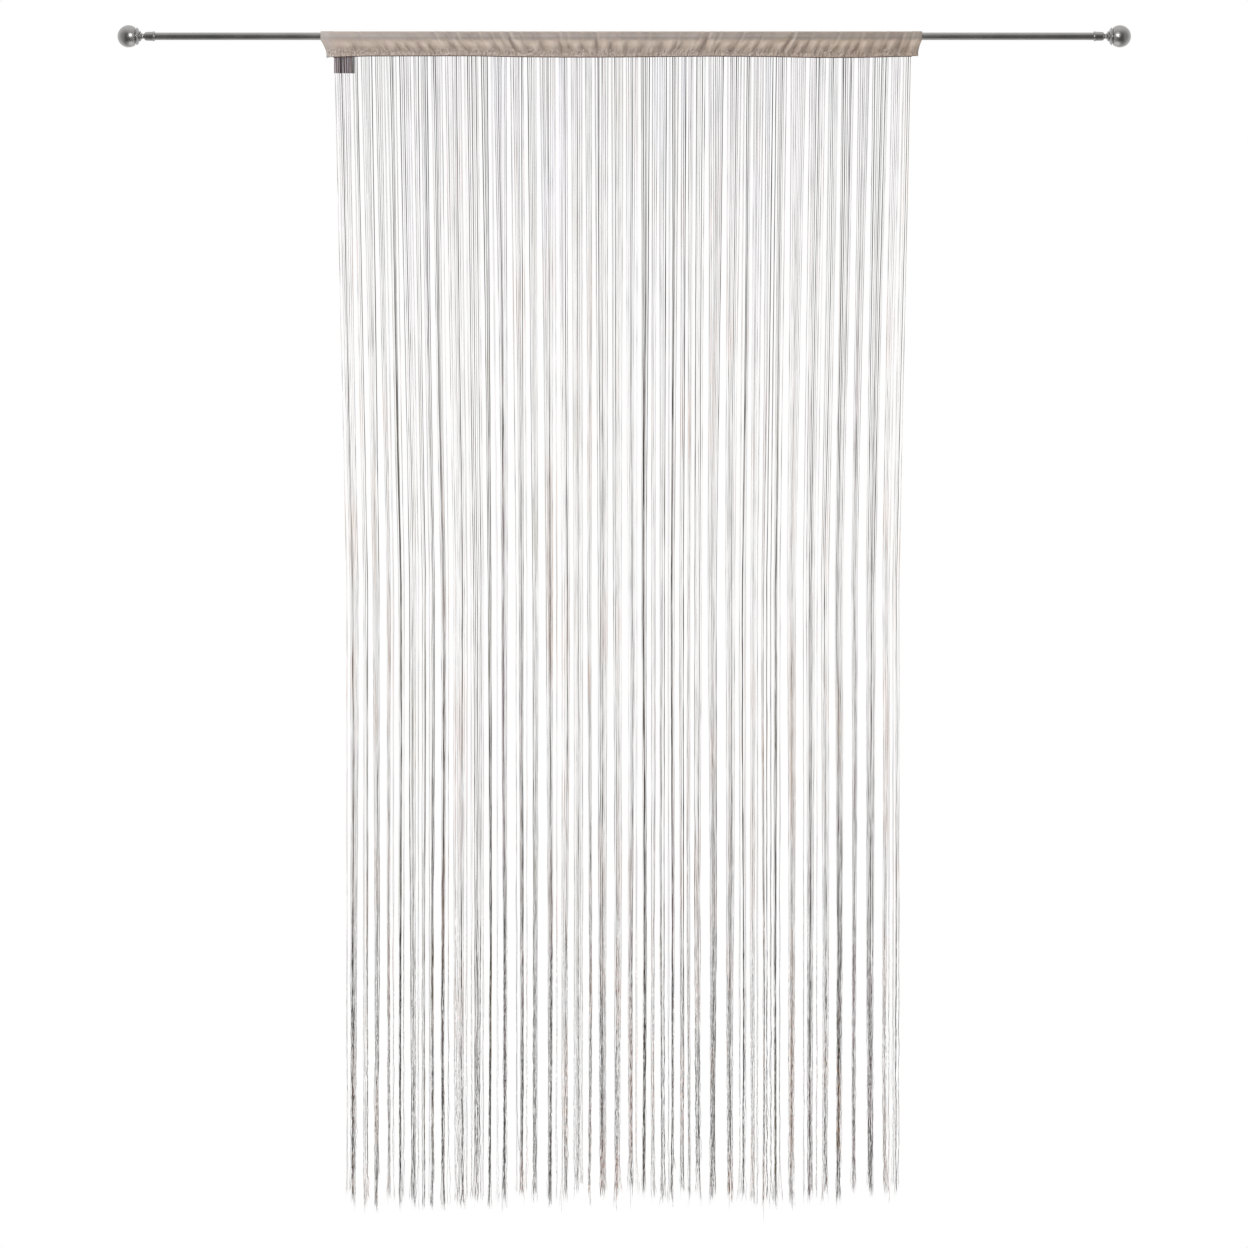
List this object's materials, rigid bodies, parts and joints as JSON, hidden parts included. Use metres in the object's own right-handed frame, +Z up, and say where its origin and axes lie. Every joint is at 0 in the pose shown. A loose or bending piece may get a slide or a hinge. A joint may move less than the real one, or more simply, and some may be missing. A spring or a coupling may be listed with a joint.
{
  "type": "string curtain with rod",
  "caption": "Long string curtain with a gathered satin heading, threaded on a slim satin metal rod that ends in turned collars and ball finials.",
  "frame": {"origin": "on the rod's axis, halfway along the rod", "axes": "+X along the rod to the right, -Y to the front, +Z up; the strings hang down -Z"},
  "size_m": [1.738, 0.038, 2.0321],
  "materials": {
    "heading_satin": "taupe satin weave, soft sheen, puckered along the stitched seam",
    "string_yarn": "thin grey polyester yarn with brown and violet tinges, slightly hairy at the cut ends",
    "label_cloth": "dark grey-brown woven label, blank",
    "satin_metal": "satin nickel-plated steel, fine lengthwise brushing on the rod, turned marks on the finials"
  },
  "bodies": {
    "root": {"heading": "heading_satin", "string_fringe": "string_yarn", "sewn_label": "label_cloth", "rod_tube": "satin_metal", "ferrule_left": "satin_metal", "ferrule_right": "satin_metal", "finial_left": "satin_metal", "finial_right": "satin_metal"}
  },
  "joints": []
}
